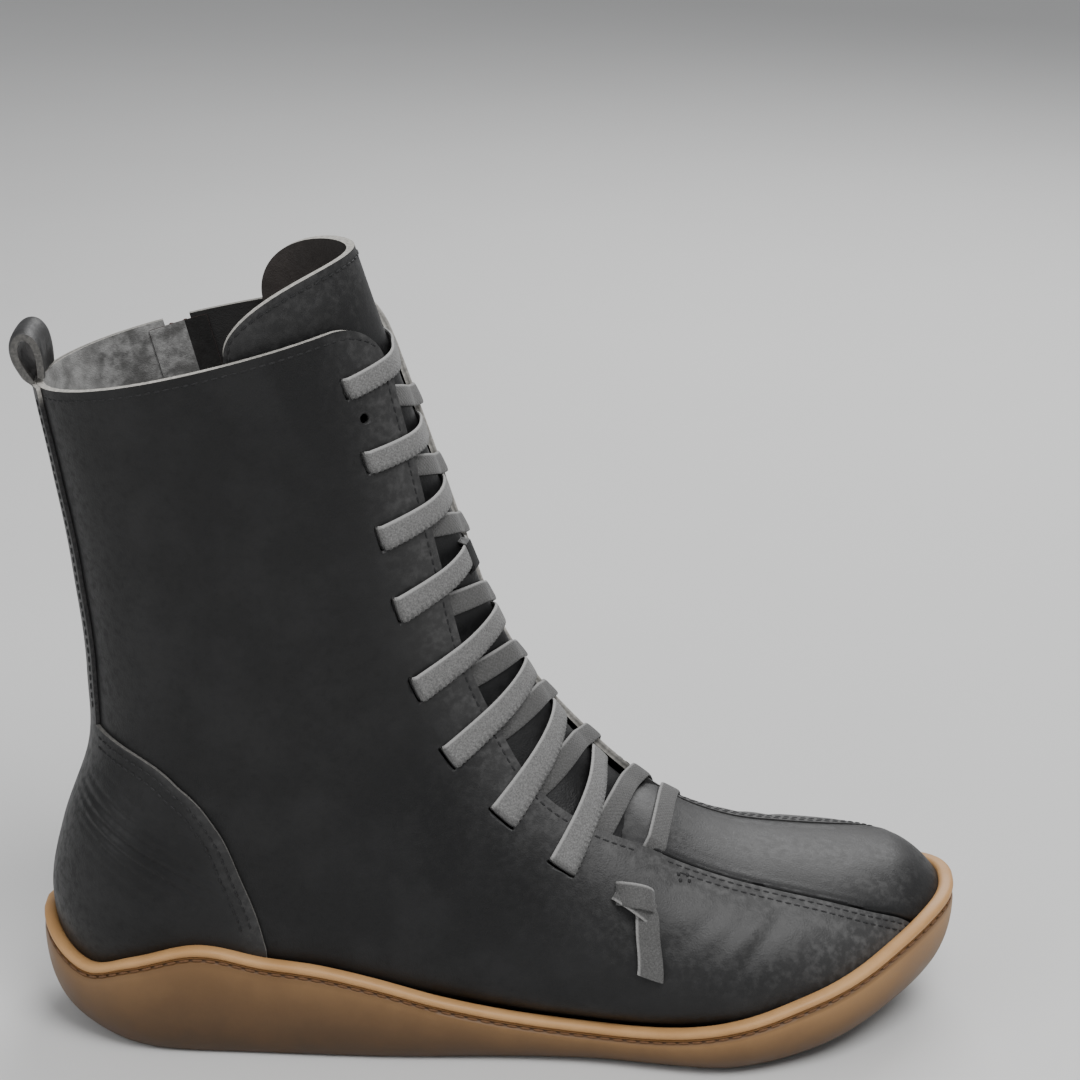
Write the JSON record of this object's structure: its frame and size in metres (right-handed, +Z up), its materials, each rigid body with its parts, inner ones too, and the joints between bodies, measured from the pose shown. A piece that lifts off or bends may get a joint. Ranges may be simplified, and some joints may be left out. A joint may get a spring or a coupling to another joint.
{
  "type": "lace-up boot",
  "caption": "Ankle-high right-foot lace-up boot: hollow leather upper with tongue, flat elastic lace and inner side zip, on a gum rubber cup sole.",
  "frame": {"origin": "centre of the boot's box on the floor plane under the sole", "axes": "+X from heel to toe, +Y towards the inner side of the foot, +Z up"},
  "size_m": [0.2762, 0.096, 0.2362],
  "materials": {
    "leather": "oiled charcoal leather, soft satin",
    "gum_rubber": "moulded gum rubber, satin",
    "footbed": "grey napped lining",
    "elastic": "flat knitted elastic, matte",
    "zip_cloth": "dark brown woven tape and coil",
    "zip_metal": "brown lacquered metal, satin"
  },
  "bodies": {
    "boot": {"outsole": "gum_rubber", "insole": "footbed", "upper": "leather", "tongue": "leather", "heel_counter": "leather", "backstay": "leather", "pull_loop": "leather", "lace_bar_outer_1": "elastic", "lace_bar_outer_2": "elastic", "lace_bar_outer_3": "elastic", "lace_bar_outer_4": "elastic", "lace_bar_outer_5": "elastic", "lace_bar_outer_6": "elastic", "lace_bar_outer_7": "elastic", "lace_bar_outer_8": "elastic", "lace_bar_inner_1": "elastic", "lace_bar_inner_2": "elastic", "lace_bar_inner_3": "elastic", "lace_bar_inner_4": "elastic", "lace_bar_inner_5": "elastic", "lace_bar_inner_6": "elastic", "lace_bar_inner_7": "elastic", "lace_bar_inner_8": "elastic", "lace_bar_inner_9": "elastic", "lace_knot_outer": "elastic", "lace_tail_outer": "elastic", "lace_knot_inner": "elastic", "lace_tail_inner": "elastic", "lace_keeper": "leather", "zip_tape": "zip_cloth", "zip_coil": "zip_cloth", "zip_slider": "zip_metal"},
    "tab": {"zip_pull_tab": "zip_metal"}
  },
  "joints": [
    {"name": "tab_hinge", "type": "hinge", "parent": "boot", "child": "tab", "pos_m": [-0.09044, 0.03946, 0.19318], "axis": [0.9605, 0.1078, 0.2566], "range_deg": [0, 150]}
  ]
}
